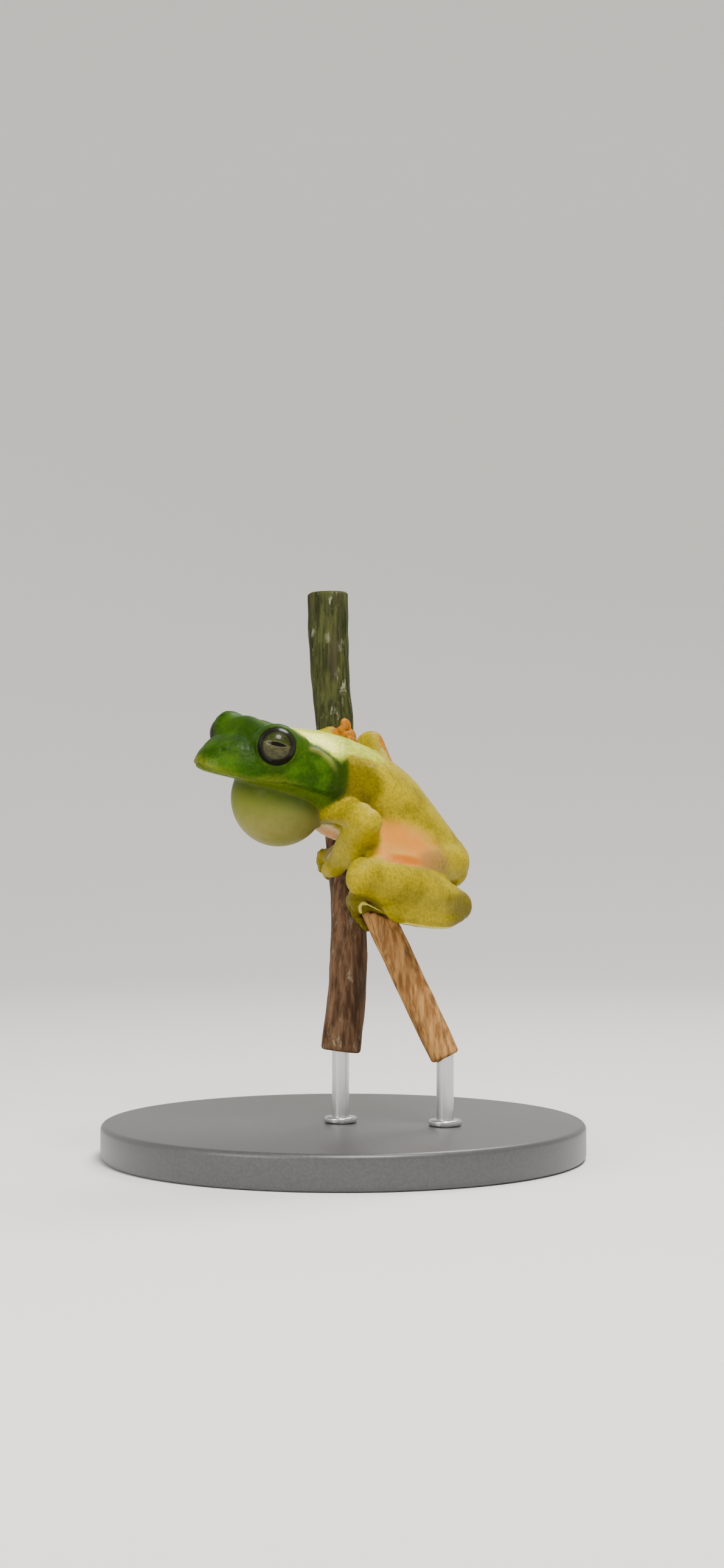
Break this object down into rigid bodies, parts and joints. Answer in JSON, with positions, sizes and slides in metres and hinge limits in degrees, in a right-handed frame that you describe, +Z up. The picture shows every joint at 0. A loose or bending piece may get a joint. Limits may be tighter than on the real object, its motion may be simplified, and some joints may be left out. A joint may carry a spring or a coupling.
{
  "type": "white-edged tree frog model, calling male on a stem",
  "caption": "Life-size still model of a calling male white-edged tree frog with a filled vocal sac, gripping a short cut length of stem on a round display stand.",
  "frame": {"origin": "centre of the underside of the stand base, which rests on the floor", "axes": "+Z up; the picture looks along +Y with +X to its right; the frog faces -X and turns its left side towards -Y"},
  "size_m": [0.068, 0.068, 0.0802],
  "materials": {
    "skin_green": "moist satin",
    "skin_yellow": "moist satin",
    "skin_orange": "moist satin",
    "sac_cream": "thin stretched skin, satin",
    "eye_silver": "wet gloss",
    "bark_brown": "dull bark",
    "stub_tan": "bare, dull",
    "stand_grey": "matt",
    "rod_steel": "satin"
  },
  "bodies": {
    "root": {"head": "skin_green", "eye_left": "eye_silver", "eye_right": "eye_silver", "vocal_sac": "sac_cream", "torso": "skin_yellow", "upper_arm_left": "skin_yellow", "upper_arm_right": "skin_yellow", "forearm_left": "skin_yellow", "forearm_right": "skin_yellow", "hand_left": "skin_orange", "hand_right": "skin_orange", "thigh_left": "skin_yellow", "thigh_right": "skin_yellow", "shank_left": "skin_yellow", "shank_right": "skin_yellow", "tarsus_left": "skin_yellow", "tarsus_right": "skin_yellow", "foot_left": "skin_orange", "foot_right": "skin_orange", "perch_stem": "bark_brown", "perch_stub": "stub_tan", "stand_base": "stand_grey", "stand_rod_stem": "rod_steel", "stand_rod_stub": "rod_steel"}
  },
  "joints": []
}
